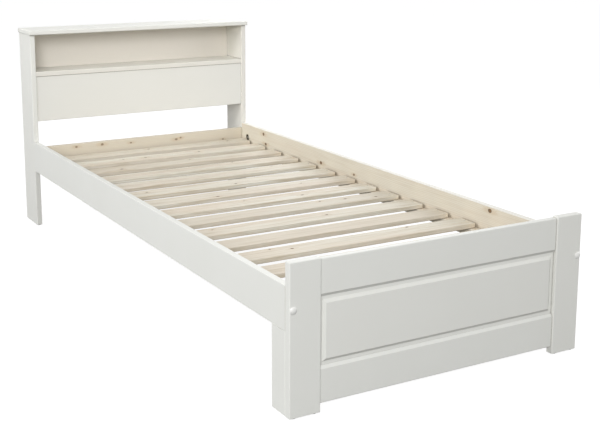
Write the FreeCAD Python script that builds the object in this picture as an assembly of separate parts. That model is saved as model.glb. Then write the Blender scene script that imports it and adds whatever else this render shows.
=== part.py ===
import FreeCAD, Part
import os

from FreeCAD import Vector

# Single bed frame in painted pine, with a shelf headboard, a panelled footboard and a slatted base.
# X runs across the bed, +Y from the foot to the head, +Z up. All lengths are in millimetres.
# The origin is on the floor, under the middle of the whole bed.

# Space for a 900 x 2000 mattress with a little room round it
inner_width = 906.0
inner_length = 2028.0

# Side rails
rail_thickness = 20.0
rail_height = 118.0
rail_underside = 224.0
edge_round = 2.5

# Legs: a broad post in front and a narrower return behind it, under the rail
post_width = 89.0
post_rise = 62.0
return_thickness = 20.0
return_depth = 68.0

# Footboard: two grooved rails and a raised panel between the posts
panel_recess = 6.0
relief_depth = 6.0
tongue_thickness = 8.0
tongue_reach = 8.0
groove_back_wall = 4.0
panel_play = 0.2
panel_float = 0.8
bevel_width = 8.4
side_flat = 10.0
rail_flat = 9.0
foot_rail_height = 98.5
foot_rail_chamfer = 8.4
chamfer_lip = 0.5
top_rail_drop = 4.0
bottom_rail_underside = 23.0

# Headboard: two full-height sides, a top board, a shelf with a niche above it and a panel below it
head_side_thickness = 20.0
head_side_depth = 144.0
top_board_thickness = 18.0
top_board_round = 4.0
top_side_overhang = 5.0
top_front_overhang = 12.0
top_back_overhang = 2.0
niche_height = 146.0
shelf_thickness = 18.0
front_panel_thickness = 18.0
front_panel_height = 179.0
front_setback = 1.5
shelf_lip = 3.0
fine_round = 2.0
back_panel_thickness = 4.0
back_panel_lap = 8.0
back_panel_play = 0.3
head_gap = 105.0
cross_rail_thickness = 20.0
cross_rail_drop = 23.0

# Slatted base
ledger_width = 32.0
ledger_height = 24.0
ledger_lift = 13.0
ledger_end_gap = 3.0
slat_count = 14
slat_width = 80.0
slat_thickness = 15.0
slat_round = 2.0
slat_end_gap = 10.0
slat_foot_gap = 127.5
slat_head_gap = 13.5

# Beech dowels: a short end in the face of one board and a long end in the end of the other
dowel_diameter = 8.0
dowel_chamfer = 1.0
dowel_face_bite = 12.0
dowel_end_bite = 20.0
dowel_fit = 0.1
dowel_end_gap = 0.8

# Bolts from the posts into barrel nuts in the rails, each under a domed cap
bolt_diameter = 8.0
bolt_play = 0.25
bolt_head_diameter = 14.0
bolt_head_height = 4.0
bolt_head_play = 1.0
bolt_socket_flats = 5.0
bolt_socket_depth = 2.5
bolt_past_nut = 4.0
bolt_chamfer = 1.0
counterbore_depth = 8.0
barrel_inset = 40.0
barrel_diameter = 12.0
barrel_length = 14.0
barrel_fit = 0.15
barrel_slot_width = 1.5
barrel_slot_depth = 2.0
cap_lip = 2.3
cap_rim = 0.8
cap_rise = 5.5
cap_fit = 0.2
cap_gap = 0.5

# Hanger bolts from the headboard sides into round recesses in the rails, with half-moon washers and nuts
hanger_screw_length = 40.0
hanger_point = 6.0
recess_diameter = 30.0
recess_inset = 52.0
washer_width = 12.0
washer_flat_offset = 8.0
washer_fit = 0.2
nut_flats = 13.0
nut_height = 6.5
nut_room = 0.5
hanger_past_nut = 2.0

# Countersunk screws and small nails
ledger_screw_head = 8.0
ledger_screw_shank = 4.0
ledger_screw_length = 46.0
slat_screw_head = 7.0
slat_screw_shank = 3.5
slat_screw_length = 30.0
screw_fit = 0.1
nail_head = 4.0
nail_head_height = 0.8
nail_shank = 1.6
nail_length = 20.0

# Nail-on glides under the legs
glide_diameter = 18.0
glide_height = 3.0
glide_round = 0.8
glide_inset = 15.0
glide_pin_diameter = 2.5
glide_pin_length = 14.0

# Cuts run this far past the faces that they break through
overrun = 2.0
# Two places closer than this are the same place
touch = 0.001
# An edge whose direction has at least this share along an axis runs along it
parallel_share = 0.99

# Shares of a board's size: where its dowels and nails sit, and the most that an edge is rounded
round_limit_share = 0.4
rail_dowel_share = 0.32
leg_dowel_shares = (0.15, 0.5, 0.85)
top_rail_dowel_shares = (0.35, 0.78)
front_panel_dowel_shares = (0.2, 0.8)
shelf_dowel_shares = (0.25, 0.75)
shelf_panel_dowel_shares = (-0.6, 0.0, 0.6)
top_dowel_shares = (0.25, 0.75)
side_nail_shares = (0.2, 0.5, 0.8)
shelf_nail_shares = (-0.6, 0.0, 0.6)

# Across the bed
inner_half = inner_width / 2
outer_half = inner_half + rail_thickness
post_inner = outer_half - post_width
side_inner = outer_half - head_side_thickness
bolt_x = outer_half - rail_thickness / 2

# Along the bed
foot_rail_thickness = relief_depth + tongue_thickness + groove_back_wall
post_thickness = panel_recess + foot_rail_thickness
frame_length = post_thickness + inner_length + head_side_depth
foot_face = -(frame_length + top_back_overhang - cap_rise) / 2
rail_front = foot_face + post_thickness
rail_back = rail_front + inner_length
head_back = rail_back + head_side_depth
panel_face = foot_face + panel_recess
tongue_front = panel_face + relief_depth
tongue_back = tongue_front + tongue_thickness
head_face = rail_back + front_setback
front_panel_face = head_face + shelf_lip
back_panel_face = head_back - back_panel_thickness
slat_pitch = (inner_length - slat_foot_gap - slat_head_gap - slat_width) / (slat_count - 1)

# Up the bed
leg_bottom = glide_height
rail_top = rail_underside + rail_height
bolt_z = rail_underside + rail_height / 2
post_top = rail_top + post_rise
foot_top_rail_top = post_top - top_rail_drop
foot_top_rail_bottom = foot_top_rail_top - foot_rail_height
foot_bottom_rail_top = bottom_rail_underside + foot_rail_height
cross_rail_top = rail_top - cross_rail_drop
front_panel_bottom = cross_rail_top + head_gap
shelf_bottom = front_panel_bottom + front_panel_height
shelf_top = shelf_bottom + shelf_thickness
top_board_bottom = shelf_top + niche_height
top_board_top = top_board_bottom + top_board_thickness
ledger_bottom = rail_underside + ledger_lift
ledger_top = ledger_bottom + ledger_height
slat_top = ledger_top + slat_thickness

# Hardware
counterbore_radius = bolt_head_diameter / 2 + bolt_head_play
cap_radius = counterbore_radius + cap_lip
recess_y = rail_back - recess_inset
recess_radius = recess_diameter / 2
recess_depth = rail_thickness / 2 + nut_flats / 2 + nut_room
washer_flat_y = recess_y + washer_flat_offset
barrel_y = rail_front + barrel_inset
dowel_radius = dowel_diameter / 2

ORIGIN = Vector(0, 0, 0)
X_AXIS = Vector(1, 0, 0)
Y_AXIS = Vector(0, 1, 0)
Z_AXIS = Vector(0, 0, 1)


def board(x_span, y_span, z_span):
    """A plain board between two places along each axis."""
    low = Vector(x_span[0], y_span[0], z_span[0])
    return Part.makeBox(x_span[1] - x_span[0], y_span[1] - y_span[0], z_span[1] - z_span[0], low)


def runs_along(edge, axis):
    """Whether a straight edge runs along an axis."""
    return abs(edge.tangentAt(edge.FirstParameter).dot(axis)) > parallel_share


def is_on_top(edge, shape):
    """Whether an edge lies in the top of a shape."""
    return edge.BoundBox.ZMin > shape.BoundBox.ZMax - touch


def eased(shape, radius, wall, choose):
    """The shape with the edges that choose accepts rounded, within what the wall beside them allows."""
    edges = [edge for edge in shape.Edges if choose(edge)]
    return shape.makeFillet(min(radius, wall * round_limit_share), edges)


def turned(profile, place, direction):
    """A solid turned from (radius, height) points, its foot at a place and its axis along a direction."""
    points = [Vector(radius, 0, height) for radius, height in profile]
    solid = Part.Face(Part.makePolygon(points + points[:1])).revolve(ORIGIN, Z_AXIS, 360)
    solid.Placement = FreeCAD.Placement(place, FreeCAD.Rotation(Z_AXIS, direction))
    return solid


def mirrored(shape):
    """The same piece on the other side of the bed."""
    return shape.mirror(ORIGIN, X_AXIS)


def both_sides(joints):
    """Joints of the right-hand side with their mirror images on the left."""
    left = [(Vector(-place.x, place.y, place.z), Vector(-way.x, way.y, way.z)) for place, way in joints]
    return joints + left


def spread(low, high, shares):
    """Places at the given shares of the way from low to high."""
    return [low + (high - low) * share for share in shares]


# Dowel joints of the right-hand side: the place where two boards meet, and the way into the board's end


def foot_end_joints():
    """Side rail into the back of the post."""
    offset = rail_height * rail_dowel_share
    return [(Vector(bolt_x, rail_front, z), Y_AXIS) for z in (bolt_z - offset, bolt_z + offset)]


def head_end_joints():
    """Side rail into the front edge of the headboard side."""
    offset = rail_height * rail_dowel_share
    return [(Vector(bolt_x, rail_back, z), -Y_AXIS) for z in (bolt_z - offset, bolt_z + offset)]


def leg_joints():
    """Leg return into the back of the post."""
    x = outer_half - return_thickness / 2
    heights = spread(leg_bottom, rail_underside, leg_dowel_shares)
    return [(Vector(x, rail_front, z), Y_AXIS) for z in heights]


def foot_rail_joints():
    """Footboard rails into the inner edge of the post, mirrored top to bottom."""
    y = panel_face + foot_rail_thickness / 2
    upper = spread(foot_top_rail_bottom, foot_top_rail_top, top_rail_dowel_shares)
    lower = spread(foot_bottom_rail_top, bottom_rail_underside, top_rail_dowel_shares)
    return [(Vector(post_inner, y, z), -X_AXIS) for z in upper + lower]


def cross_rail_joints():
    """Cross rail into the headboard side, between the rail's own dowels and its bolt."""
    y = rail_back + cross_rail_thickness / 2
    offset = rail_height * rail_dowel_share / 2
    return [(Vector(side_inner, y, z), -X_AXIS) for z in (bolt_z - offset, bolt_z + offset)]


def front_panel_joints():
    """Panel below the shelf into the headboard side."""
    y = front_panel_face + front_panel_thickness / 2
    heights = spread(front_panel_bottom, shelf_bottom, front_panel_dowel_shares)
    return [(Vector(side_inner, y, z), -X_AXIS) for z in heights]


def shelf_joints():
    """Shelf into the headboard side."""
    z = shelf_bottom + shelf_thickness / 2
    places = spread(head_face, back_panel_face, shelf_dowel_shares)
    return [(Vector(side_inner, y, z), -X_AXIS) for y in places]


def shelf_panel_joints():
    """Panel's top edge into the underside of the shelf."""
    y = front_panel_face + front_panel_thickness / 2
    places = [side_inner * share for share in shelf_panel_dowel_shares]
    return [(Vector(x, y, shelf_bottom), -Z_AXIS) for x in places]


def top_joints():
    """Upper end of the headboard side into the underside of the top board."""
    x = outer_half - head_side_thickness / 2
    places = spread(rail_back, head_back, top_dowel_shares)
    return [(Vector(x, y, top_board_bottom), -Z_AXIS) for y in places]


def dowel(joint):
    """Round beech dowel with chamfered ends."""
    place, way = joint
    length = dowel_face_bite + dowel_end_bite
    chamfer = min(dowel_chamfer, dowel_radius * round_limit_share)
    profile = [
        (0, 0),
        (dowel_radius - chamfer, 0),
        (dowel_radius, chamfer),
        (dowel_radius, length - chamfer),
        (dowel_radius - chamfer, length),
        (0, length),
    ]
    return turned(profile, place - way * dowel_face_bite, way)


def dowels(joints):
    """One dowel for each joint, as a group of separate pieces."""
    return Part.makeCompound([dowel(joint) for joint in joints])


def drilled(shape, joints):
    """The shape with its share of each dowel's hole."""
    start = dowel_face_bite + dowel_end_gap
    length = start + dowel_end_bite + dowel_end_gap
    radius = dowel_radius + dowel_fit
    holes = [Part.makeCylinder(radius, length, place - way * start, way) for place, way in joints]
    return shape.cut(holes)


# Screws, nails and glides


def screw(head, shank, length, place, way, grow):
    """Countersunk screw with its flat head at a place, or with grow the hole that it cuts."""
    head_radius = head / 2 + grow
    shank_radius = shank / 2 + grow
    profile = [
        (0, 0),
        (head_radius, 0),
        (shank_radius, head_radius - shank_radius),
        (shank_radius, length - shank),
        (0, length + grow),
    ]
    return turned(profile, place, way)


def slat_front(index):
    """Front edge of a slat, counted from the foot."""
    return rail_front + slat_foot_gap + slat_pitch * index


def slat_screw(index, grow):
    """Screw at the right-hand end of a slat, in the middle of its seat on the ledger."""
    x = inner_half - (slat_end_gap + ledger_width) / 2
    place = Vector(x, slat_front(index) + slat_width / 2, slat_top)
    return screw(slat_screw_head, slat_screw_shank, slat_screw_length, place, -Z_AXIS, grow)


def ledger_screws(grow):
    """Screws of the right-hand ledger, in the middle of every second gap between slats."""
    x = inner_half - ledger_width
    z = ledger_bottom + ledger_height / 2
    middle = (slat_width + slat_pitch) / 2
    places = [Vector(x, slat_front(index) + middle, z) for index in range(0, slat_count - 1, 2)]
    sizes = (ledger_screw_head, ledger_screw_shank, ledger_screw_length)
    return [screw(*sizes, place, X_AXIS, grow) for place in places]


def nail(place, grow):
    """Flat-headed nail driven into the headboard from behind, or with grow the hole that it cuts."""
    head_radius = nail_head / 2 + grow
    shank_radius = nail_shank / 2 + grow
    profile = [
        (0, 0),
        (head_radius, 0),
        (head_radius, nail_head_height),
        (shank_radius, nail_head_height),
        (shank_radius, nail_length - nail_shank),
        (0, nail_length + grow),
    ]
    return turned(profile, place, -Y_AXIS)


def back_panel_nails(grow):
    """Nails along both sides and the lower edge of the back panel."""
    x = side_inner + back_panel_lap / 2
    y = head_back
    heights = spread(shelf_top, top_board_bottom, side_nail_shares)
    places = [Vector(way * x, y, z) for z in heights for way in (-1, 1)]
    z_low = shelf_bottom + shelf_thickness / 2
    places += [Vector(side_inner * share, y, z_low) for share in shelf_nail_shares]
    return [nail(place, grow) for place in places]


def glide(x, y, grow):
    """Plastic glide with its steel pin in one piece, or with grow the hole that the pin cuts."""
    radius = glide_diameter / 2
    pin_radius = glide_pin_diameter / 2 + grow
    pin_end = glide_height + glide_pin_length
    worn = min(glide_round, glide_height * round_limit_share)
    profile = [
        (0, 0),
        (radius - worn, 0),
        (radius, worn),
        (radius, glide_height),
        (pin_radius, glide_height),
        (pin_radius, pin_end - pin_radius),
        (0, pin_end + grow),
    ]
    return turned(profile, Vector(x, y, 0), Z_AXIS)


def post_glides(grow):
    """Two glides under the right-hand post."""
    y = foot_face + post_thickness / 2
    return [glide(x, y, grow) for x in (post_inner + glide_inset, outer_half - glide_inset)]


def head_glides(grow):
    """Two glides under the right-hand headboard side."""
    x = outer_half - head_side_thickness / 2
    return [glide(x, y, grow) for y in (rail_back + glide_inset, head_back - glide_inset)]


# Bolts and nuts of the right-hand side


def hexagon(flats, height, place, way):
    """Six-sided prism with two of its flats square to X when it points along Y."""
    corner = flats / 3 ** 0.5
    turns = [FreeCAD.Rotation(Z_AXIS, 60 * step) for step in range(7)]
    outline = Part.makePolygon([turn.multVec(Vector(0, corner, 0)) for turn in turns])
    prism = Part.Face(outline).extrude(Z_AXIS * height)
    prism.Placement = FreeCAD.Placement(place, FreeCAD.Rotation(Z_AXIS, way))
    return prism


def foot_bolt():
    """Flat-headed bolt with a hexagon socket, from the post into the barrel nut."""
    head_y = foot_face + counterbore_depth - bolt_head_height
    radius = bolt_diameter / 2
    tip = barrel_y + barrel_diameter / 2 + bolt_past_nut - head_y
    profile = [
        (0, 0),
        (bolt_head_diameter / 2, 0),
        (bolt_head_diameter / 2, bolt_head_height),
        (radius, bolt_head_height),
        (radius, tip - bolt_chamfer),
        (radius - bolt_chamfer, tip),
        (0, tip),
    ]
    place = Vector(bolt_x, head_y, bolt_z)
    socket = hexagon(bolt_socket_flats, bolt_socket_depth, place, Y_AXIS)
    return turned(profile, place, Y_AXIS).cut(socket)


def foot_bolt_hole():
    """Counterbore in the post and the bolt's hole through post and rail end."""
    depth = counterbore_depth + overrun
    start = Vector(bolt_x, foot_face - overrun, bolt_z)
    counterbore = Part.makeCylinder(counterbore_radius, depth, start, Y_AXIS)
    length = barrel_y + barrel_diameter / 2 + bolt_past_nut + overrun - foot_face
    radius = bolt_diameter / 2 + bolt_play
    shaft = Part.makeCylinder(radius, length, Vector(bolt_x, foot_face, bolt_z), Y_AXIS)
    return counterbore.fuse(shaft)


def barrel_seat(radius, start, end):
    """Round bar across the rail on the barrel nut's axis."""
    return Part.makeCylinder(radius, end - start, Vector(start, barrel_y, bolt_z), X_AXIS)


def barrel_nut():
    """Cross-drilled barrel nut with a screwdriver slot in the end that shows."""
    start = bolt_x - barrel_length / 2
    body = barrel_seat(barrel_diameter / 2, start, start + barrel_length)
    thread = foot_bolt_hole()
    half = barrel_slot_width / 2
    slot = board(
        (start - overrun, start + barrel_slot_depth),
        (barrel_y - barrel_diameter, barrel_y + barrel_diameter),
        (bolt_z - half, bolt_z + half),
    )
    return body.cut([thread, slot])


def bolt_cap():
    """Domed cap with a short plug that fills the counterbore in front of the bolt head."""
    plug_radius = counterbore_radius - cap_fit
    plug_length = counterbore_depth - bolt_head_height - cap_gap
    dome = cap_rise - cap_rim
    sphere = (cap_radius ** 2 + dome ** 2) / (2 * dome)
    crown = Vector(0, 0, cap_rise)
    shoulder = Vector(cap_radius, 0, cap_rim)
    bow = Vector(cap_radius / 2, 0, cap_rise - sphere + (sphere ** 2 - (cap_radius / 2) ** 2) ** 0.5)
    outline = Part.makePolygon([
        shoulder,
        Vector(cap_radius, 0, 0),
        Vector(plug_radius, 0, 0),
        Vector(plug_radius, 0, -plug_length),
        Vector(0, 0, -plug_length),
        crown,
    ])
    arc = Part.Arc(crown, bow, shoulder).toShape()
    cap = Part.Face(Part.Wire(outline.Edges + [arc])).revolve(ORIGIN, Z_AXIS, 360)
    cap.Placement = FreeCAD.Placement(Vector(bolt_x, foot_face, bolt_z), FreeCAD.Rotation(Z_AXIS, -Y_AXIS))
    return cap


def hanger_bolt(grow):
    """Double-ended bolt, screwed into the headboard side and bare in the rail, or with grow its hole."""
    radius = bolt_diameter / 2 + grow
    tip_y = washer_flat_y - nut_height - hanger_past_nut
    length = rail_back + hanger_screw_length - tip_y
    profile = [
        (0, -grow),
        (radius, -grow),
        (radius, length - hanger_point),
        (0, length + grow),
    ]
    return turned(profile, Vector(bolt_x, tip_y, bolt_z), Y_AXIS)


def nut_recess(radius, start, end):
    """Round bar across the rail on the axis of the recess."""
    return Part.makeCylinder(radius, end - start, Vector(start, recess_y, bolt_z), X_AXIS)


def half_moon_washer():
    """Washer with a round back that seats in the recess and a flat face for the nut."""
    half = washer_width / 2
    round_bar = nut_recess(recess_radius - washer_fit, bolt_x - half, bolt_x + half)
    front = board(
        (inner_half - overrun, outer_half + overrun),
        (recess_y - recess_diameter, washer_flat_y),
        (bolt_z - recess_diameter, bolt_z + recess_diameter),
    )
    return round_bar.cut([front, hanger_bolt(bolt_play)])


def hanger_nut():
    """Hexagon nut against the flat of the washer."""
    place = Vector(bolt_x, washer_flat_y - nut_height, bolt_z)
    return hexagon(nut_flats, nut_height, place, Y_AXIS).cut(hanger_bolt(bolt_play))


# Boards


def side_rail():
    """Right-hand side rail with the holes for its joints at both ends."""
    rail = board((inner_half, outer_half), (rail_front, rail_back), (rail_underside, rail_top))
    rail = eased(rail, edge_round, rail_thickness, lambda edge: runs_along(edge, Y_AXIS))
    barrel_end = bolt_x + barrel_length / 2 + barrel_fit
    cuts = [
        foot_bolt_hole(),
        barrel_seat(barrel_diameter / 2 + barrel_fit, inner_half - overrun, barrel_end),
        nut_recess(recess_radius, inner_half - overrun, inner_half + recess_depth),
        hanger_bolt(bolt_play),
    ]
    rail = rail.cut(cuts + ledger_screws(screw_fit))
    return drilled(rail, foot_end_joints() + head_end_joints())


def foot_post():
    """Right-hand post: the broad front board of the leg, grooved for the raised panel."""
    post = board((post_inner, outer_half), (foot_face, rail_front), (leg_bottom, post_top))
    chosen = lambda edge: runs_along(edge, Z_AXIS) or is_on_top(edge, post)
    post_eased = eased(post, edge_round, post_thickness, chosen)
    reach = tongue_reach + panel_float
    groove = board(
        (post_inner - overrun, post_inner + reach),
        (tongue_front - panel_play, tongue_back + panel_play),
        (foot_bottom_rail_top - reach, foot_top_rail_bottom + reach),
    )
    post_cut = post_eased.cut([groove, foot_bolt_hole()] + post_glides(screw_fit))
    return drilled(post_cut, foot_end_joints() + leg_joints() + foot_rail_joints())


def leg_return():
    """Right-hand return: the side of the leg, which carries the rail's end."""
    x_span = (outer_half - return_thickness, outer_half)
    leg = board(x_span, (rail_front, rail_front + return_depth), (leg_bottom, rail_underside))
    leg = eased(leg, edge_round, return_thickness, lambda edge: runs_along(edge, Z_AXIS))
    return drilled(leg, leg_joints())


def foot_rail(edge, way):
    """Footboard rail from the edge beside the panel, upwards or downwards: chamfered, grooved and eased."""
    groove_front = tongue_front - panel_play
    groove_back = tongue_back + panel_play
    groove_end = tongue_reach + panel_float
    profile = [
        (panel_face, foot_rail_height),
        (panel_face, foot_rail_chamfer),
        (tongue_front - chamfer_lip, 0),
        (groove_front, 0),
        (groove_front, groove_end),
        (groove_back, groove_end),
        (groove_back, 0),
        (rail_front, 0),
        (rail_front, foot_rail_height),
    ]
    points = [Vector(-post_inner, y, edge + way * height) for y, height in profile]
    rail = Part.Face(Part.makePolygon(points + points[:1])).extrude(X_AXIS * (2 * post_inner))
    outer = edge + way * foot_rail_height
    chosen = lambda line: runs_along(line, X_AXIS) and abs(line.CenterOfMass.z - outer) < touch
    rail = eased(rail, edge_round, foot_rail_thickness, chosen)
    return drilled(rail, both_sides(foot_rail_joints()))


def foot_panel():
    """Raised panel: a flat field with bevels down to a tongue on all four sides."""
    reach = post_inner + tongue_reach
    low = foot_bottom_rail_top
    high = foot_top_rail_bottom
    tongue = board((-reach, reach), (tongue_front, tongue_back), (low - tongue_reach, high + tongue_reach))
    base_x = post_inner - side_flat
    base_low = low + rail_flat
    base_high = high - rail_flat
    field_x = base_x - bevel_width
    field_low = base_low + bevel_width
    field_high = base_high - bevel_width
    field = Part.makeWedge(
        -field_x, panel_face, field_low, base_low, -base_x,
        field_x, tongue_front, field_high, base_high, base_x,
    )
    return tongue.fuse(field).removeSplitter()


def head_side():
    """Right-hand headboard side: a full-height board, rebated for the back panel."""
    side = board((side_inner, outer_half), (rail_back, head_back), (leg_bottom, top_board_bottom))
    side = eased(side, edge_round, head_side_thickness, lambda edge: runs_along(edge, Z_AXIS))
    rebate = board(
        (side_inner - overrun, side_inner + back_panel_lap),
        (back_panel_face, head_back + overrun),
        (shelf_bottom, top_board_bottom + overrun),
    )
    side = side.cut([rebate, hanger_bolt(bolt_play)] + head_glides(screw_fit) + back_panel_nails(screw_fit))
    joints = head_end_joints() + cross_rail_joints() + front_panel_joints() + shelf_joints() + top_joints()
    return drilled(side, joints)


def head_top_board():
    """Top board with rounded edges, overhanging the headboard all round."""
    half = outer_half + top_side_overhang
    y_span = (rail_back - top_front_overhang, head_back + top_back_overhang)
    top = board((-half, half), y_span, (top_board_bottom, top_board_top))
    top = eased(top, top_board_round, top_board_thickness, lambda edge: True)
    return drilled(top, both_sides(top_joints()))


def head_shelf():
    """Shelf under the niche, with eased front edges."""
    shelf = board((-side_inner, side_inner), (head_face, back_panel_face), (shelf_bottom, shelf_top))
    chosen = lambda edge: runs_along(edge, X_AXIS) and abs(edge.CenterOfMass.y - head_face) < touch
    shelf = eased(shelf, fine_round, shelf_thickness, chosen)
    shelf = shelf.cut(back_panel_nails(screw_fit))
    return drilled(shelf, both_sides(shelf_joints()) + shelf_panel_joints())


def head_front_panel():
    """Panel below the shelf, a little behind the shelf's edge."""
    y_span = (front_panel_face, front_panel_face + front_panel_thickness)
    panel = board((-side_inner, side_inner), y_span, (front_panel_bottom, shelf_bottom))
    panel = eased(panel, fine_round, front_panel_thickness, lambda edge: runs_along(edge, X_AXIS))
    return drilled(panel, both_sides(front_panel_joints()) + shelf_panel_joints())


def head_back_panel():
    """Thin back of the niche, in the rebates of the headboard sides."""
    half = side_inner + back_panel_lap - back_panel_play
    back = board((-half, half), (back_panel_face, head_back), (shelf_bottom, top_board_bottom))
    return back.cut(back_panel_nails(screw_fit))


def head_cross_rail():
    """Cross rail that closes the bed at the head, below the open gap."""
    y_span = (rail_back, rail_back + cross_rail_thickness)
    rail = board((-side_inner, side_inner), y_span, (rail_underside, cross_rail_top))
    rail = eased(rail, edge_round, cross_rail_thickness, lambda edge: runs_along(edge, X_AXIS))
    return drilled(rail, both_sides(cross_rail_joints()))


def slat_ledger():
    """Right-hand batten that carries the slat ends."""
    y_span = (rail_front + ledger_end_gap, rail_back - ledger_end_gap)
    ledger = board((inner_half - ledger_width, inner_half), y_span, (ledger_bottom, ledger_top))
    ledger = eased(ledger, fine_round, ledger_height, lambda edge: runs_along(edge, Y_AXIS))
    screws = [slat_screw(index, screw_fit) for index in range(slat_count)]
    return ledger.cut(screws + ledger_screws(screw_fit))


def slat(index):
    """One slat with eased long edges and a screw hole at each end."""
    half = inner_half - slat_end_gap
    front = slat_front(index)
    batten = board((-half, half), (front, front + slat_width), (ledger_top, slat_top))
    batten = eased(batten, slat_round, slat_thickness, lambda edge: runs_along(edge, X_AXIS))
    hole = slat_screw(index, screw_fit)
    return batten.cut([hole, mirrored(hole)])


def pair(make):
    """A right-hand piece and its mirror image, as a group of separate pieces."""
    piece = make()
    return Part.makeCompound([piece, mirrored(piece)])


def group(pieces):
    """Right-hand pieces and their mirror images, as a group of separate pieces."""
    return Part.makeCompound(pieces + [mirrored(piece) for piece in pieces])


def bed_frame():
    """Every piece of the bed by its name."""
    nodes = {}
    sided = {
        "side_rail": side_rail,
        "foot_post": foot_post,
        "foot_leg_return": leg_return,
        "head_side": head_side,
        "slat_ledger": slat_ledger,
    }
    for name, make in sided.items():
        nodes[name + "_right"] = make()
        nodes[name + "_left"] = mirrored(nodes[name + "_right"])
    nodes["foot_top_rail"] = foot_rail(foot_top_rail_bottom, 1)
    nodes["foot_raised_panel"] = foot_panel()
    nodes["foot_bottom_rail"] = foot_rail(foot_bottom_rail_top, -1)
    nodes["head_top_board"] = head_top_board()
    nodes["head_shelf"] = head_shelf()
    nodes["head_front_panel"] = head_front_panel()
    nodes["head_back_panel"] = head_back_panel()
    nodes["head_cross_rail"] = head_cross_rail()
    for index in range(slat_count):
        nodes[f"slat_{index + 1:02d}"] = slat(index)
    nodes["foot_bolts"] = pair(foot_bolt)
    nodes["foot_barrel_nuts"] = pair(barrel_nut)
    nodes["foot_bolt_caps"] = pair(bolt_cap)
    nodes["head_hanger_bolts"] = group([hanger_bolt(0)])
    nodes["head_half_moon_washers"] = pair(half_moon_washer)
    nodes["head_hanger_nuts"] = pair(hanger_nut)
    nodes["rail_dowels"] = dowels(both_sides(foot_end_joints() + head_end_joints()))
    nodes["leg_dowels"] = dowels(both_sides(leg_joints()))
    nodes["foot_rail_dowels"] = dowels(both_sides(foot_rail_joints()))
    nodes["cross_rail_dowels"] = dowels(both_sides(cross_rail_joints()))
    nodes["front_panel_dowels"] = dowels(both_sides(front_panel_joints()))
    nodes["shelf_dowels"] = dowels(both_sides(shelf_joints()) + shelf_panel_joints())
    nodes["top_board_dowels"] = dowels(both_sides(top_joints()))
    nodes["ledger_screws"] = group(ledger_screws(0))
    nodes["slat_screws"] = group([slat_screw(index, 0) for index in range(slat_count)])
    nodes["back_panel_nails"] = Part.makeCompound(back_panel_nails(0))
    nodes["leg_glides"] = group(post_glides(0) + head_glides(0))
    return nodes


os.makedirs("parts", exist_ok=True)
for node, shape in bed_frame().items():
    shape.exportStep(f"parts/{node}.step")
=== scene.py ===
import math
import random

import bmesh
import bpy
from mathutils import Matrix, Vector


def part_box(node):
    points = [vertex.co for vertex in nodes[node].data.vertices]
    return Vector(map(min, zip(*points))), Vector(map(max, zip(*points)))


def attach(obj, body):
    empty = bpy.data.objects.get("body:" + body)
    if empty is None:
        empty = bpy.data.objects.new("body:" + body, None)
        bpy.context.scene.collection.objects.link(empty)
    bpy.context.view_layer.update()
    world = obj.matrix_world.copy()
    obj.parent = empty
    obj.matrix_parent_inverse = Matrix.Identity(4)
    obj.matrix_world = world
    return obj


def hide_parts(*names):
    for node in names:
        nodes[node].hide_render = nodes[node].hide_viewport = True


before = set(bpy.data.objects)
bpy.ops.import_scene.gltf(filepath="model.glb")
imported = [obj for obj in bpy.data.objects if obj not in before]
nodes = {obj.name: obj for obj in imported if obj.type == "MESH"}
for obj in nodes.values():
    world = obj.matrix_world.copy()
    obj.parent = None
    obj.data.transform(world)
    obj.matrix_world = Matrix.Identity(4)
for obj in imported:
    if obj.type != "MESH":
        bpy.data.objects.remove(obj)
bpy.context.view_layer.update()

# Looks of a single bed frame in white-painted and bare pine. Lengths are in metres unless a name or a
# comment says millimetres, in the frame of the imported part: +X across the bed, +Y from the foot to the
# head, +Z up, with the floor at zero.

MM = 0.001
chance = random.Random(7)

X = Vector((1, 0, 0))
Y = Vector((0, 1, 0))
Z = Vector((0, 0, 1))

# Camera, fitted to the corners of the bed in the photograph
CAMERA_PLACE = (-1.738, -3.317, 1.208)
CAMERA_AZIMUTH = math.radians(-30.19)
CAMERA_ELEVATION = math.radians(10.93)
CAMERA_ROLL = math.radians(0.21)
IMAGE_WIDTH_PX = 600
FOCAL_LENGTH_PX = 1112.5
PRINCIPAL_POINT_RISE_PX = 84
SENSOR_WIDTH_MM = 36

# Settings that several nodes share
COLOUR = {"data_type": "RGBA"}
SMOOTH = {"interpolation_type": "SMOOTHSTEP"}
OF_BOARD = {"attribute_type": "OBJECT"}


def linear(code):
    """Linear colour of an sRGB hex code."""
    shades = [int(code[place:place + 2], 16) / 255 for place in (1, 3, 5)]
    return [s / 12.92 if s <= 0.04045 else ((s + 0.055) / 1.055) ** 2.4 for s in shades] + [1.0]


def add(tree, kind, inputs=None, **settings):
    """Adds a node with its settings and links.

    An input is given by name or place, and takes a value, a hex colour, a socket or a node. Of a node it
    takes the first output in use.
    """
    node = tree.nodes.new("ShaderNode" + kind)
    for name, value in settings.items():
        setattr(node, name, value)
    in_use = [socket for socket in node.inputs if socket.enabled]
    for place, value in (inputs or {}).items():
        socket = in_use[place] if isinstance(place, int) else next(s for s in in_use if s.name == place)
        if isinstance(value, bpy.types.Node):
            value = next(output for output in value.outputs if output.enabled)
        if isinstance(value, bpy.types.NodeSocket):
            tree.links.new(value, socket)
        else:
            socket.default_value = linear(value) if isinstance(value, str) else value
    return node


def new_material(name):
    """An empty material with its node tree."""
    material = bpy.data.materials.new(name)
    material.use_nodes = True
    material.node_tree.nodes.clear()
    return material, material.node_tree


def surface(tree, finish, shader):
    """Ends a material with one shader that takes the finish's colour, roughness and relief."""
    relief = add(tree, "Bump", {"Strength": 1.0, "Distance": MM, "Height": finish["relief_mm"]})
    inputs = {"Base Color": finish["colour"], "Roughness": finish["roughness"], "Normal": relief}
    principled = add(tree, "BsdfPrincipled", inputs | shader)
    add(tree, "OutputMaterial", {"Surface": principled})


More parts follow.
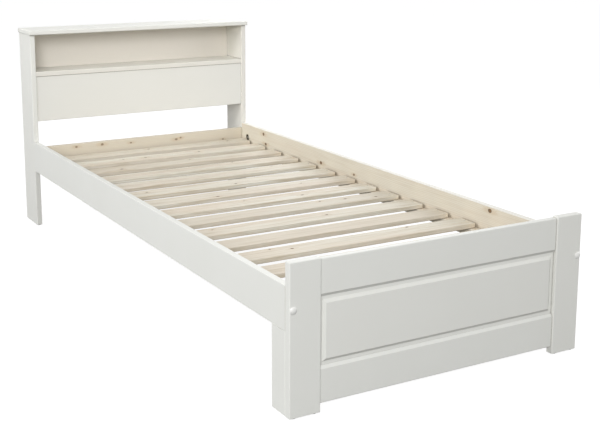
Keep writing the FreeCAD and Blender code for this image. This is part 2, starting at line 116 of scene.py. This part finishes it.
# Wood. Every board remembers which way its grain runs, where it lay in its trunk and where its knots are.

# Knots that one board can have
KNOTS = ("knot_a", "knot_b", "knot_c", "knot_d", "knot_e", "knot_f")


def wood_place(tree):
    """Coordinates in the board: along the grain, across it, and through the board's thickness."""
    place = add(tree, "TexCoord").outputs["Object"]
    parts = []
    for name in ("grain_along", "grain_across", "grain_through"):
        way = add(tree, "Attribute", attribute_name=name, **OF_BOARD).outputs["Vector"]
        parts.append(add(tree, "VectorMath", {0: place, 1: way}, operation="DOT_PRODUCT"))
    return add(tree, "CombineXYZ", {"X": parts[0], "Y": parts[1], "Z": parts[2]})


def knot(tree, place, ragged, name):
    """One knot through the board: masks of its bark rim, heart and halo, and its push on the rings."""
    spot = add(tree, "Attribute", attribute_name=name, **OF_BOARD).outputs["Vector"]
    radius = add(tree, "SeparateXYZ", {0: spot}).outputs["Z"]
    offset = add(tree, "VectorMath", {0: place, 1: spot}, operation="SUBTRACT")
    shares = []
    # The knot itself is a little longer than wide, and its halo is drawn far out along the grain
    for stretch in ((0.7, 1, 0), (0.3, 1, 0)):
        flat = add(tree, "VectorMath", {0: offset, 1: stretch}, operation="MULTIPLY")
        length = add(tree, "VectorMath", {0: flat}, operation="LENGTH")
        share = add(tree, "Math", {0: length, 1: radius}, operation="DIVIDE")
        shares.append(add(tree, "Math", {0: share, 1: ragged}, operation="MULTIPLY"))
    close, drawn = shares
    rim = add(tree, "MapRange", {"Value": close, "From Min": 1.1, "From Max": 0.85}, **SMOOTH)
    heart = add(tree, "MapRange", {"Value": close, "From Min": 0.92, "From Max": 0.35}, **SMOOTH)
    halo = add(tree, "MapRange", {"Value": drawn, "From Min": 2.3, "From Max": 0.8}, **SMOOTH)
    push = add(tree, "Math", {0: halo, 1: radius}, operation="MULTIPLY")
    return {"rim": rim, "heart": heart, "halo": halo, "push": push}


def pine_figure(tree, knot_names):
    """Growth rings, fibres and knots of a board, cut from a trunk whose centre lies outside it."""
    place = wood_place(tree)
    centre = add(tree, "Attribute", attribute_name="trunk_centre", **OF_BOARD).outputs["Vector"]
    inside = add(tree, "VectorMath", {0: place, 1: centre}, operation="SUBTRACT")
    # The trunk bends a little over about half a metre, which draws the rings out into long, lazy lines
    slow = add(tree, "VectorMath", {0: inside, 1: (1 / 0.5, 1 / 0.14, 1 / 0.14)}, operation="MULTIPLY")
    bend = add(tree, "TexNoise", {"Vector": slow, "Scale": 1.0, "Detail": 2.0, "Roughness": 0.4})
    sway = add(tree, "VectorMath", {0: bend.outputs["Color"], 1: (0.5, 0.5, 0.5)}, operation="SUBTRACT")
    sway = add(tree, "VectorMath", {0: sway, 1: (0, 22 * MM, 22 * MM)}, operation="MULTIPLY")
    bent = add(tree, "VectorMath", {0: inside, 1: sway}, operation="ADD")
    radial = add(tree, "VectorMath", {0: bent, 1: (0, 1, 1)}, operation="MULTIPLY")
    radius = add(tree, "VectorMath", {0: radial}, operation="LENGTH")
    noise = add(tree, "TexNoise", {"Vector": place, "Scale": 1 / (7 * MM), "Detail": 2.0})
    ragged = add(tree, "MapRange", {"Value": noise, "To Min": 0.72, "To Max": 1.28})
    knots = [knot(tree, place, ragged, name) for name in knot_names]
    for one in knots:
        radius = add(tree, "Math", {0: radius, 1: one["push"]}, operation="ADD")
    # Rings about 5 mm apart, some years wider than others
    pace = {"W": radius, "Scale": 1 / (18 * MM), "Detail": 1.0}
    years = add(tree, "TexNoise", pace, noise_dimensions="1D")
    count = add(tree, "Math", {0: radius, 1: 1 / (5 * MM), 2: years}, operation="MULTIPLY_ADD")
    year = add(tree, "Math", {0: count}, operation="FRACT")
    rise = add(tree, "MapRange", {"Value": year, "From Min": 0.3, "From Max": 0.92}, **SMOOTH)
    fall = add(tree, "MapRange", {"Value": year, "From Min": 1.0, "From Max": 0.93}, **SMOOTH)
    late = add(tree, "Math", {0: rise, 1: fall}, operation="MULTIPLY")
    # Fibres and resin ducts under a millimetre wide and many times longer
    thin = (1 / (32 * MM), 1 / (0.9 * MM), 1 / (0.9 * MM))
    drawn = add(tree, "VectorMath", {0: inside, 1: thin}, operation="MULTIPLY")
    fibre = add(tree, "TexNoise", {"Vector": drawn, "Scale": 1.0, "Detail": 3.0, "Roughness": 0.6})
    # Broad streaks of darker and lighter wood, a hand long and some millimetres wide
    broad = add(tree, "VectorMath", {0: inside, 1: (1 / 0.16, 1 / 0.010, 1 / 0.010)}, operation="MULTIPLY")
    streak = add(tree, "TexNoise", {"Vector": broad, "Scale": 1.0, "Detail": 3.0})
    drift = add(tree, "VectorMath", {0: inside, 1: (1 / 0.8, 1 / 0.06, 1 / 0.06)}, operation="MULTIPLY")
    blush = add(tree, "TexNoise", {"Vector": drift, "Scale": 1.0, "Detail": 1.0})
    figure = {"late": late, "fibre": fibre, "streak": streak, "blush": blush, "knots": knots}
    for trait in ("tone", "bark", "streakiness", "thin_coat"):
        figure[trait] = add(tree, "Attribute", attribute_name=f"board_{trait}", **OF_BOARD).outputs["Fac"]
    return figure


def downward_shade(tree, share):
    """A share of painted shade on faces that look down, and zero on all others."""
    facing = add(tree, "SeparateXYZ", {0: add(tree, "NewGeometry").outputs["Normal"]}).outputs["Z"]
    turned = {"Value": facing, "From Min": -0.1, "From Max": -0.6, "To Max": share}
    return add(tree, "MapRange", turned, **SMOOTH)


def occlusion_shade(tree, reach, share):
    """Painted shade: a share where other wood lies within reach, as in joints and grooves, and zero in the
    open.
    """
    open_air = add(tree, "AmbientOcclusion", {"Distance": reach}, samples=8).outputs["AO"]
    closed = {"Value": open_air, "From Min": 0.8, "From Max": 0.4, "To Max": share}
    return add(tree, "MapRange", closed, **SMOOTH)


def bare_pine(tree, figure):
    """Planed, unpainted pine: pale cream with straw latewood lines, pinkish drifts and brown knots."""
    pink = add(tree, "MapRange", {"Value": figure["blush"], "From Min": 0.38, "From Max": 0.62})
    early = add(tree, "Mix", {"Factor": pink, "A": "#F3F0E4", "B": "#EFE5D6"}, **COLOUR)
    late = add(tree, "Mix", {"Factor": pink, "A": "#E6DDC9", "B": "#E2D6C2"}, **COLOUR)
    colour = add(tree, "Mix", {"Factor": figure["late"], "A": early, "B": late}, **COLOUR)
    for part, start, full, share, tint in (
        ("streak", 0.46, 0.72, 0.75, "#CDBEA4"),
        ("fibre", 0.55, 0.8, 0.45, "#BDAC90"),
    ):
        most = add(tree, "Math", {0: figure["streakiness"], 1: share}, operation="MULTIPLY")
        limits = {"From Min": start, "From Max": full, "To Max": most}
        shown = add(tree, "MapRange", {"Value": figure[part]} | limits)
        colour = add(tree, "Mix", {"Factor": shown, "A": colour, "B": tint}, **COLOUR)
    # Tone share: the wood's own tone, except on slat_14 under the headboard, where the darkness is painted
    # shade
    colour = add(tree, "Mix", {"Factor": figure["tone"], "A": colour, "B": "#D6CDBC"}, **COLOUR)
    for one in figure["knots"]:
        halo = add(tree, "Math", {0: one["halo"], 1: 0.4}, operation="MULTIPLY")
        colour = add(tree, "Mix", {"Factor": halo, "A": colour, "B": "#C9B291"}, **COLOUR)
        rim = add(tree, "Math", {0: one["rim"], 1: figure["bark"]}, operation="MULTIPLY")
        colour = add(tree, "Mix", {"Factor": rim, "A": colour, "B": "#5A4734"}, **COLOUR)
        heart = add(tree, "Math", {0: one["heart"], 1: figure["bark"]}, operation="MULTIPLY")
        colour = add(tree, "Mix", {"Factor": heart, "A": colour, "B": "#8A6C4E"}, **COLOUR)
    # Painted shade: faces that look down are darkened
    underside_shade = downward_shade(tree, 0.6)
    colour = add(tree, "Mix", {"Factor": underside_shade, "A": colour, "B": "#A8977B"}, **COLOUR)
    # Painted shade: the narrow places between the slats' ends, the ledgers and the rails are darkened
    gap_shade = occlusion_shade(tree, 16 * MM, 0.4)
    colour = add(tree, "Mix", {"Factor": gap_shade, "A": colour, "B": "#6E5C44"}, **COLOUR)
    roughness = add(tree, "MapRange", {"Value": figure["late"], "To Min": 0.66, "To Max": 0.52})
    raised = add(tree, "Math", {0: figure["late"], 1: 0.05}, operation="MULTIPLY")
    relief = add(tree, "Math", {0: figure["fibre"], 1: 0.06, 2: raised}, operation="MULTIPLY_ADD")
    return {"colour": colour, "roughness": roughness, "relief_mm": relief}


def satin_paint(tree, figure):
    """White satin paint on pine: a soft even white, a faint orange peel and rings that just show."""
    place = add(tree, "TexCoord").outputs["Object"]
    cloud = add(tree, "TexNoise", {"Vector": place, "Scale": 1 / (180 * MM), "Detail": 3.0})
    colour = add(tree, "Mix", {"Factor": cloud, "A": "#F0F1ED", "B": "#ECEDE8"}, **COLOUR)
    # Painted warm light: the tone share tints the headboard's shelf, front panel, top board and right side
    # warmer, as by light reflected from the bare pine; on other boards it is a faint tone of the paint
    colour = add(tree, "Mix", {"Factor": figure["tone"], "A": colour, "B": "#EDE7DB"}, **COLOUR)
    # Painted shade: joints, grooves and faces that look down are darkened, which draws them as fine grey
    # lines
    crease_shade = occlusion_shade(tree, 9 * MM, 1.0)
    shade_mask = add(tree, "Math", {0: crease_shade, 1: downward_shade(tree, 0.4)}, operation="MAXIMUM")
    thin = add(tree, "Math", {0: shade_mask, 1: figure["thin_coat"]}, operation="MULTIPLY")
    colour = add(tree, "Mix", {"Factor": thin, "A": colour, "B": "#8C8982"}, **COLOUR)
    peel = add(tree, "TexNoise", {"Vector": place, "Scale": 1 / (2.2 * MM), "Detail": 1.0})
    raised = add(tree, "Math", {0: figure["late"], 1: 0.02}, operation="MULTIPLY")
    relief = add(tree, "Math", {0: peel, 1: 0.03, 2: raised}, operation="MULTIPLY_ADD")
    roughness = add(tree, "MapRange", {"Value": cloud, "To Min": 0.4, "To Max": 0.52})
    return {"colour": colour, "roughness": roughness, "relief_mm": relief}


def grained_finish(tree, dark, pale, grain_mm, roughness, relief_mm):
    """A finish of two close colours over a fine grain."""
    place = add(tree, "TexCoord").outputs["Object"]
    grain = add(tree, "TexNoise", {"Vector": place, "Scale": 1 / (grain_mm * MM), "Detail": 4.0})
    colour = add(tree, "Mix", {"Factor": grain, "A": dark, "B": pale}, **COLOUR)
    rough = add(tree, "MapRange", {"Value": grain, "To Min": roughness[0], "To Max": roughness[1]})
    relief = add(tree, "Math", {0: grain, 1: relief_mm}, operation="MULTIPLY")
    return {"colour": colour, "roughness": rough, "relief_mm": relief}


def lacquered_board_material():
    """Thin fibreboard with a white lacquer, for the back of the niche; its cream tint is partly the
    lacquer's own colour and partly painted warm light, as reflected from the bare pine.
    """
    material, tree = new_material("fibreboard_lacquer_and_warm_light")
    surface(tree, grained_finish(tree, "#EAE4DA", "#F0EBE2", 2.4, (0.42, 0.55), 0.03), {"IOR": 1.5})
    return material


def bare_pine_material():
    """Bare planed pine, for the slats, their ledgers and the cross rail."""
    material, tree = new_material("pine_planed_bare")
    surface(tree, bare_pine(tree, pine_figure(tree, KNOTS)), {"IOR": 1.5, "Specular IOR Level": 0.35})
    return material


def painted_pine_material():
    """White satin paint on pine, for the headboard, footboard and legs."""
    material, tree = new_material("pine_white_satin_paint")
    surface(tree, satin_paint(tree, pine_figure(tree, ())), {"IOR": 1.5, "Specular IOR Level": 0.3})
    return material


def side_rail_material():
    """Side rail: painted outside and on both edges, bare pine inside, with a wandering paint line."""
    material, tree = new_material("pine_painted_outside")
    figure = pine_figure(tree, KNOTS)
    paint = satin_paint(tree, figure)
    pine = bare_pine(tree, figure)
    # Painted is what lies at the outer face, or nearer to an edge than the wandering line
    low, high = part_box("side_rail_right")
    place = add(tree, "TexCoord").outputs["Object"]
    wander = add(tree, "TexNoise", {"Vector": place, "Scale": 1 / (45 * MM), "Detail": 3.0})
    line = add(tree, "MapRange", {"Value": wander, "To Min": 1.2 * MM, "To Max": 4.2 * MM})
    spots = add(tree, "SeparateXYZ", {0: place})
    across = add(tree, "Math", {0: spots.outputs["X"]}, operation="ABSOLUTE")
    outside = add(tree, "Math", {0: across, 1: high.x - 0.6 * MM}, operation="GREATER_THAN")
    middle = (low.z + high.z) / 2
    from_middle = add(tree, "Math", {0: spots.outputs["Z"], 1: middle}, operation="SUBTRACT")
    from_middle = add(tree, "Math", {0: from_middle}, operation="ABSOLUTE")
    reach = add(tree, "Math", {0: from_middle, 1: line}, operation="ADD")
    edge = add(tree, "Math", {0: reach, 1: high.z - middle}, operation="GREATER_THAN")
    painted = add(tree, "Math", {0: outside, 1: edge}, operation="MAXIMUM")
    finish = {}
    for part, settings in (("colour", COLOUR), ("roughness", {}), ("relief_mm", {})):
        finish[part] = add(tree, "Mix", {"Factor": painted, "A": pine[part], "B": paint[part]}, **settings)
    surface(tree, finish, {"IOR": 1.5, "Specular IOR Level": 0.3})
    return material


def zinc_steel_material():
    """Bright zinc-plated steel: a cool silvery metal with soft, slightly cloudy reflections."""
    material, tree = new_material("steel_bright_zinc")
    surface(tree, grained_finish(tree, "#B4B6B6", "#D2D3D0", 1.6, (0.24, 0.42), 0.01), {"Metallic": 1.0})
    return material


def washer_recess_shade_material():
    """Dull charcoal steel for the half-moon washers, which hardly mirrors anything; its dark colour is
    painted shade for the bolt recesses they lie in.
    """
    material, tree = new_material("steel_dark_recess_shade")
    surface(tree, grained_finish(tree, "#4A4945", "#5C5A55", 1.2, (0.5, 0.7), 0.02), {"Metallic": 1.0})
    return material


def cap_plastic_material():
    """Moulded white polyethylene: a smooth, slightly milky satin white."""
    material, tree = new_material("polyethylene_white_moulded")
    surface(tree, grained_finish(tree, "#ECECE8", "#F3F3F0", 3.0, (0.3, 0.4), 0.01), {"IOR": 1.51})
    return material


def glide_plastic_material():
    """Moulded grey polypropylene, scuffed where it slides on the floor."""
    material, tree = new_material("polypropylene_grey_moulded")
    surface(tree, grained_finish(tree, "#434342", "#5A5A58", 2.0, (0.5, 0.75), 0.04), {"IOR": 1.49})
    return material


def beech_material():
    """Turned beech for the dowels: warm tan with short dark flecks."""
    material, tree = new_material("beech_turned")
    surface(tree, grained_finish(tree, "#B98D5E", "#D0A878", 1.2, (0.55, 0.7), 0.05), {"IOR": 1.5})
    return material


# Boards: how the grain lies in each

SIDES = ("left", "right")
slats = [name for name in sorted(nodes) if name.startswith("slat_") and name[5:].isdigit()]

# Knots that the photograph shows: millimetres along the grain and across it from the board's middle, and
# the radius
SEEN_KNOTS = {
    "slat_03": ((-195, 5, 3.8), (230, 30, 3.8), (-255, 30, 3.0)),
    "slat_05": ((90, 0, 4.0), (-310, 20, 2.6)),
    "slat_06": ((255, 10, 4.0), (365, -15, 4.0), (160, 20, 3.2)),
    "slat_07": ((155, -10, 4.0), (-60, 15, 2.6)),
    "slat_08": ((-110, -25, 4.4), (240, 5, 2.6)),
    "slat_09": ((30, -25, 4.0), (-300, 10, 2.8)),
    "slat_12": ((-240, -15, 4.6), (60, 20, 3.0)),
    "slat_13": ((155, 0, 4.2), (-80, 0, 4.0), (-170, 10, 3.4)),
    "slat_14": ((-5, 10, 4.2), (360, 10, 4.2)),
    "head_cross_rail": (
        (-300, 35, 4.2), (-190, 35, 5.0), (-65, 30, 3.6), (140, 25, 5.0), (160, 30, 3.6), (360, 5, 3.2),
    ),
    "side_rail_right": (
        (815, 40, 6.0), (795, 0, 6.0), (345, 5, 6.0), (110, 5, 4.0), (-665, 45, 6.5), (-320, -30, 3.0),
    ),
}
# Boards that the photograph shows darker or warmer than the rest, as a share from zero to one
# The warmth of the headboard's shelf, front panel, top board and right side is painted warm light, as
# reflected from the bare pine; the darkness of slat_14 under the headboard is painted shade; the rest is
# the boards' own tone.
SEEN_TONES_AND_LIGHT = {
    "head_cross_rail": 0.8, "side_rail_right": 0.45, "side_rail_left": 0.05,
    "slat_03": 0.25, "slat_04": 0.45, "slat_05": 0.2, "slat_06": 0.5, "slat_07": 0.0, "slat_08": 0.15,
    "slat_09": 0.0, "slat_10": 0.05, "slat_11": 0.0, "slat_12": 0.2, "slat_13": 0.0, "slat_14": 0.45,
    "head_side_left": 0.1, "head_side_right": 0.4, "head_top_board": 0.15, "head_shelf": 0.5,
    "head_front_panel": 0.2, "foot_post_left": 0.05, "foot_post_right": 0.1,
    "foot_leg_return_left": 0.05, "foot_leg_return_right": 0.1,
    "foot_top_rail": 0.05, "foot_raised_panel": 0.1, "foot_bottom_rail": 0.05,
}
# A knot that a board doesn't have lies this far away from it
NO_KNOT = (50.0, 50.0, MM)
# How strongly knots and streaks show, and how much painted shade darkens joints and undersides, as shares
PALE_KNOTS = 0.5
DARK_KNOTS = 0.9
PLAIN_WOOD = 0.45
STREAKY_WOOD = 1.0
UNSHADED_JOINTS = 0.0
SHADED_JOINTS = 0.7


def lay_grain(name, along, through):
    """Gives a board the directions of its grain, its place in the trunk, its shift of colour, which is
    partly painted light, and its knots.
    """
    board = nodes[name]
    across = through.cross(along)
    board["grain_along"] = list(along)
    board["grain_across"] = list(across)
    board["grain_through"] = list(through)
    low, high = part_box(name)
    middle = (low + high) / 2
    start = chance.uniform(-3, 3)
    aside = chance.choice((-1, 1)) * chance.uniform(10, 90) * MM
    depth = chance.choice((-1, 1)) * chance.uniform(25, 70) * MM
    board["trunk_centre"] = [start, middle.dot(across) + aside, middle.dot(through) + depth]
    tone = chance.uniform(0, 0.4)
    board["board_tone"] = SEEN_TONES_AND_LIGHT.get(name, tone)
    # Knots of the cross rail are grown in and pale, those of the other boards keep a ring of dark bark
    board["board_bark"] = PALE_KNOTS if name == "head_cross_rail" else DARK_KNOTS
    # The rails were cut from plainer wood than the slats
    plain = name.startswith(("side_rail", "head_cross_rail"))
    board["board_streakiness"] = PLAIN_WOOD if plain else STREAKY_WOOD
    # Side rails and leg returns get no painted shade in their joints or underneath
    even = name.startswith(("side_rail", "foot_leg_return"))
    board["board_thin_coat"] = UNSHADED_JOINTS if even else SHADED_JOINTS
    reach = [abs((high - low).dot(way)) / 2 / MM for way in (along, across)]
    spots = list(SEEN_KNOTS.get(name, ()))
    if not spots:
        for count in range(chance.randint(0, 2)):
            size = chance.choice((1.8, 2.4, 3.0))
            far = chance.uniform(-0.95, 0.95) * reach[0]
            side = chance.uniform(-0.9, 0.9) * reach[1]
            spots.append((far, side, size))
    for label in KNOTS:
        board[label] = list(NO_KNOT)
    for label, (far, side, size) in zip(KNOTS, spots):
        board[label] = [middle.dot(along) + far * MM, middle.dot(across) + side * MM, size * MM]


def give(material, *names):
    """Puts one material on CAD nodes."""
    for name in names:
        for slot in nodes[name].material_slots:
            slot.material = material


for name in slats + ["head_top_board", "head_shelf"]:
    lay_grain(name, X, Z)
for name in ("head_front_panel", "head_cross_rail"):
    lay_grain(name, X, -Y)
for name in ("foot_top_rail", "foot_raised_panel", "foot_bottom_rail"):
    lay_grain(name, X, -Y)
for side in SIDES:
    lay_grain(f"side_rail_{side}", Y, X)
    lay_grain(f"slat_ledger_{side}", Y, X)
    lay_grain(f"foot_post_{side}", Z, Y)
    lay_grain(f"foot_leg_return_{side}", Z, X)
    lay_grain(f"head_side_{side}", Z, X)

give(bare_pine_material(), *slats, "slat_ledger_left", "slat_ledger_right", "head_cross_rail")
give(side_rail_material(), "side_rail_left", "side_rail_right")
give(lacquered_board_material(), "head_back_panel")
give(
    painted_pine_material(), "head_side_left", "head_side_right", "head_top_board", "head_shelf",
    "head_front_panel", "foot_post_left", "foot_post_right", "foot_leg_return_left",
    "foot_leg_return_right", "foot_top_rail", "foot_raised_panel", "foot_bottom_rail",
)
give(
    zinc_steel_material(), "foot_bolts", "foot_barrel_nuts", "head_hanger_bolts", "head_hanger_nuts",
    "ledger_screws", "slat_screws", "back_panel_nails",
)
give(washer_recess_shade_material(), "head_half_moon_washers")
give(cap_plastic_material(), "foot_bolt_caps")
give(glide_plastic_material(), "leg_glides")
give(
    beech_material(), "rail_dowels", "leg_dowels", "foot_rail_dowels", "cross_rail_dowels",
    "front_panel_dowels", "shelf_dowels", "top_board_dowels",
)


# Screws with cross recesses, with their sizes in millimetres

SLAT_SCREW = {"head": 7.0, "shank": 3.5, "length": 30.0}
LEDGER_SCREW = {"head": 8.0, "shank": 4.0, "length": 46.0}
# How many millimetres in from the rails the screws stand
SLAT_SCREW_INSET = 21
LEDGER_SCREW_INSET = 32


def add_screw(shape, place, out, head, shank, length):
    """Countersunk screw with a cross recess, its head level with a place and facing out."""
    turn = out.to_track_quat("Z", "Y").to_matrix()
    arm = 0.3 * head
    web = 0.08 * head
    quarter = ((arm, web), (web, web), (web, arm))
    cross = []
    for turns in range(4):
        spin = Matrix.Rotation(turns * math.pi / 2, 2)
        cross += [spin @ Vector(corner) for corner in quarter]
    angles = [math.atan2(corner.y, corner.x) % math.tau for corner in cross]

    def ring(radius, depth):
        """Twenty-four points of a circle: over the corners of the recess and half-way between."""
        points = []
        for index, start in enumerate(angles):
            gap = (angles[(index + 1) % len(angles)] - start) % math.tau
            points += [start, start + gap / 2]
        spots = [Vector((radius * math.cos(a), radius * math.sin(a), -depth)) for a in points]
        return [shape.verts.new(place + turn @ spot * MM) for spot in spots]

    def recess(share, depth):
        """Corners of the cross at a depth, drawn in a little."""
        spots = [Vector((corner.x * share, corner.y * share, -depth)) for corner in cross]
        return [shape.verts.new(place + turn @ spot * MM) for spot in spots]

    def wall(upper, lower):
        """Faces between two rings of the same count."""
        for index in range(len(upper)):
            after = (index + 1) % len(upper)
            shape.faces.new((upper[index], lower[index], lower[after], upper[after]))

    # From the head's flat over its rounded edge and cone to the shank and the point
    taper = (head - shank) / 2
    rim = ring(head / 2 - 0.15, 0)
    rings = [rim, ring(head / 2, 0.12), ring(head / 2, 0.3), ring(shank / 2, 0.3 + taper)]
    rings += [ring(shank / 2, length - 1.5 * shank), ring(0.15, length)]
    for upper, lower in zip(rings, rings[1:]):
        wall(upper, lower)
    shape.faces.new(rings[-1])
    mouth = recess(1.0, 0)
    bottom = recess(0.7, 0.32 * head)
    wall(bottom, mouth)
    shape.faces.new(bottom)
    for index in range(len(mouth)):
        after = (index + 1) % len(mouth)
        outer = [rim[2 * index], rim[2 * index + 1], rim[(2 * index + 2) % len(rim)]]
        shape.faces.new(outer + [mouth[after], mouth[index]])


def make_screws(node, places, out_of, screw):
    """Puts screws with cross recesses in the places of a CAD node's screws."""
    shape = bmesh.new()
    for place in places:
        add_screw(shape, place, out_of(place), **screw)
    bmesh.ops.recalc_face_normals(shape, faces=shape.faces)
    mesh = bpy.data.meshes.new(node)
    shape.to_mesh(mesh)
    shape.free()
    screws = bpy.data.objects.new(f"{node}_cross_recess", mesh)
    bpy.context.scene.collection.objects.link(screws)
    mesh.materials.append(nodes[node].material_slots[0].material)
    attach(screws, "root")
    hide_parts(node)


def screw_places(inset, lift, along):
    """Places on both sides of the bed: how far in from the rails, how high, and how far along."""
    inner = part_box("side_rail_right")[0].x - inset * MM
    return [Vector((side * inner, middle, lift)) for side in (-1, 1) for middle in along]


slat_middles = [(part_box(name)[0].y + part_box(name)[1].y) / 2 for name in slats]
gap_middles = [(one + after) / 2 for one, after in zip(slat_middles, slat_middles[1:])]
slat_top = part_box("slat_01")[1].z
ledger_low, ledger_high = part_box("slat_ledger_right")
ledger_middle = (ledger_low.z + ledger_high.z) / 2
slat_screw_places = screw_places(SLAT_SCREW_INSET, slat_top, slat_middles)
ledger_screw_places = screw_places(LEDGER_SCREW_INSET, ledger_middle, gap_middles[::2])
make_screws("slat_screws", slat_screw_places, lambda place: Z, SLAT_SCREW)
make_screws("ledger_screws", ledger_screw_places, lambda place: -X if place.x > 0 else X, LEDGER_SCREW)


# Studio

FLOOR_REACH = 40.0
# Strength of the surroundings as a light, where one is white
SURROUNDINGS_LIGHT = 0.46


def seen_directly(tree):
    """One where a thing is seen, also in a mirror or through glass, and zero where it only gives light."""
    rays = add(tree, "LightPath").outputs
    seen = add(tree, "Math", {0: rays["Is Camera Ray"], 1: rays["Is Glossy Ray"]}, operation="MAXIMUM")
    return add(tree, "Math", {0: seen, 1: rays["Is Transmission Ray"]}, operation="MAXIMUM")


def make_floor():
    """Wide pale floor, which fades into the white background and keeps the bed's shadow.

    As a light it gives back a fifth of what falls on it.
    """
    mesh = bpy.data.meshes.new("studio_floor")
    shape = bmesh.new()
    bmesh.ops.create_grid(shape, x_segments=1, y_segments=1, size=FLOOR_REACH)
    shape.to_mesh(mesh)
    shape.free()
    floor = bpy.data.objects.new("studio_floor", mesh)
    bpy.context.scene.collection.objects.link(floor)
    material, tree = new_material("studio_floor_pale")
    matt = add(tree, "BsdfDiffuse", {"Color": "#7B7B7A"})
    glow = add(tree, "Emission", {"Color": "#FFFFFF", "Strength": 0.87})
    shade = add(tree, "BsdfDiffuse", {"Color": "#919191"})
    seen = add(tree, "AddShader", {0: glow, 1: shade})
    mixed = add(tree, "MixShader", {0: seen_directly(tree), 1: matt, 2: seen})
    add(tree, "OutputMaterial", {"Surface": mixed})
    mesh.materials.append(material)


def make_world():
    """White surroundings: full white to the eye, softer as a light."""
    world = bpy.data.worlds.new("studio_white")
    bpy.context.scene.world = world
    world.use_nodes = True
    tree = world.node_tree
    tree.nodes.clear()
    limits = {"To Min": SURROUNDINGS_LIGHT, "To Max": 1.0}
    strength = add(tree, "MapRange", {"Value": seen_directly(tree)} | limits)
    light = add(tree, "Background", {"Color": "#FFFFFF", "Strength": strength})
    add(tree, "OutputWorld", {"Surface": light})


def softbox(name, place, aim, size, watts, beam=180):
    """Square lamp that points at a place, with its beam in degrees."""
    lamp = bpy.data.lights.new(name, "AREA")
    lamp.shape = "SQUARE"
    lamp.size = size
    lamp.energy = watts
    lamp.spread = math.radians(beam)
    box = bpy.data.objects.new(name, lamp)
    box.location = place
    box.rotation_euler = (Vector(aim) - Vector(place)).to_track_quat("-Z", "Y").to_euler()
    box.visible_camera = False
    bpy.context.scene.collection.objects.link(box)


def make_camera():
    """Camera at the photograph's place and viewing angle."""
    camera = bpy.data.cameras.new("photo_camera")
    camera.sensor_width = SENSOR_WIDTH_MM
    camera.lens = FOCAL_LENGTH_PX * SENSOR_WIDTH_MM / IMAGE_WIDTH_PX
    camera.shift_y = -PRINCIPAL_POINT_RISE_PX / IMAGE_WIDTH_PX
    holder = bpy.data.objects.new("photo_camera", camera)
    bpy.context.scene.collection.objects.link(holder)
    turn = Matrix.Rotation(CAMERA_AZIMUTH, 4, "Z")
    tilt = Matrix.Rotation(math.pi / 2 - CAMERA_ELEVATION, 4, "X")
    roll = Matrix.Rotation(CAMERA_ROLL, 4, "Z")
    holder.matrix_world = Matrix.Translation(CAMERA_PLACE) @ turn @ tilt @ roll
    bpy.context.scene.camera = holder


make_floor()
make_world()
softbox("corner_softbox", place=(-3.55, -5.2, 2.8), aim=(0, -0.2, 0.4), size=2.0, watts=193)
softbox("left_softbox", place=(-3.3, 0.2, 2.0), aim=(0, 0.3, 0.45), size=1.6, watts=40)
softbox("right_softbox", place=(3.4, -1.2, 1.6), aim=(0, 0.1, 0.4), size=1.8, watts=28)
softbox("back_softbox", place=(2.4, 3.2, 2.2), aim=(0, 0.3, 0.4), size=2.0, watts=36)
softbox("headboard_softbox", place=(-1.6, -0.2, 2.3), aim=(0.15, 1.05, 0.78), size=1.0, watts=0.75, beam=28)
make_camera()
bpy.context.scene.view_settings.view_transform = "Standard"
